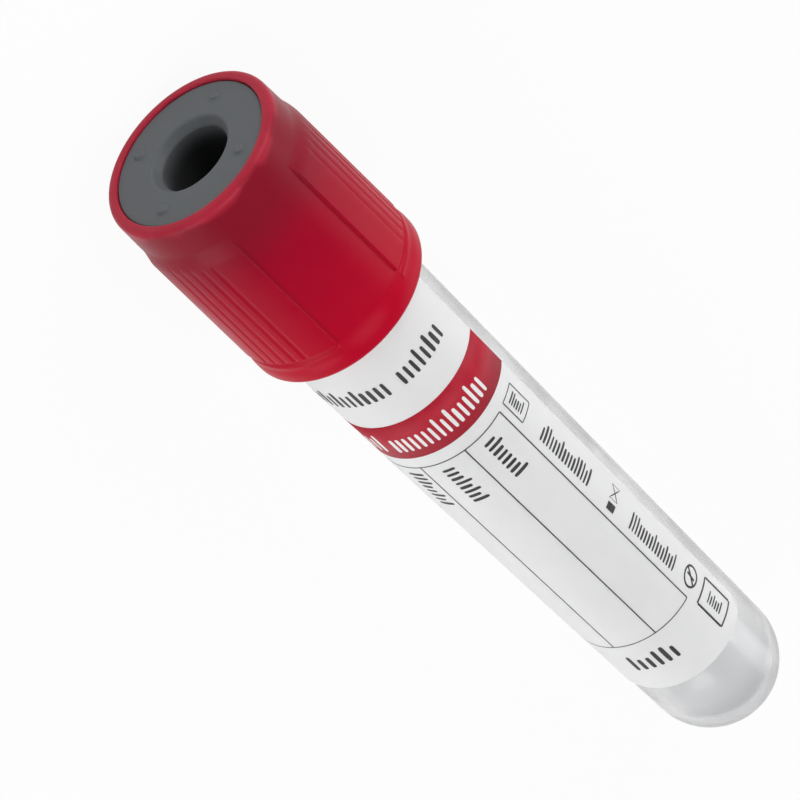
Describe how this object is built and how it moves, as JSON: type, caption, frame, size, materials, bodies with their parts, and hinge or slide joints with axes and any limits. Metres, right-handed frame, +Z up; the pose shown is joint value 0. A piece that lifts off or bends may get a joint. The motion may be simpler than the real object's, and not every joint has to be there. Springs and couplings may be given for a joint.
{
  "type": "blood collection tube",
  "caption": "Clear round-bottom sample tube with a wrapped paper label, and a ribbed red cap with a grey rubber stopper, lying on its side.",
  "frame": {"origin": "bottom centre of the part's bounding box, on the surface that it lies on", "axes": "+X from the cap towards the tube's round end, +Z up, +Y to the left of the tube seen from the cap. The tube's own axis slopes down towards +X by 1.8 degrees, because the cap is wider than the tube"},
  "size_m": [0.0848, 0.0162, 0.0162],
  "materials": {
    "clear_tube": "clear moulded plastic, polished",
    "label_paper": "smooth coated white paper with a red band and thin dark lines",
    "red_cap": "satin moulded plastic",
    "grey_rubber": "matt moulded rubber"
  },
  "bodies": {
    "tube": {"tube": "clear_tube", "label": "label_paper"},
    "closure": {"cap": "red_cap", "stopper": "grey_rubber"}
  },
  "joints": [
    {"name": "closure_pull", "type": "slide", "parent": "tube", "child": "closure", "axis": [-0.9995, 0, 0.0314], "range_m": [0, 0.02]}
  ]
}
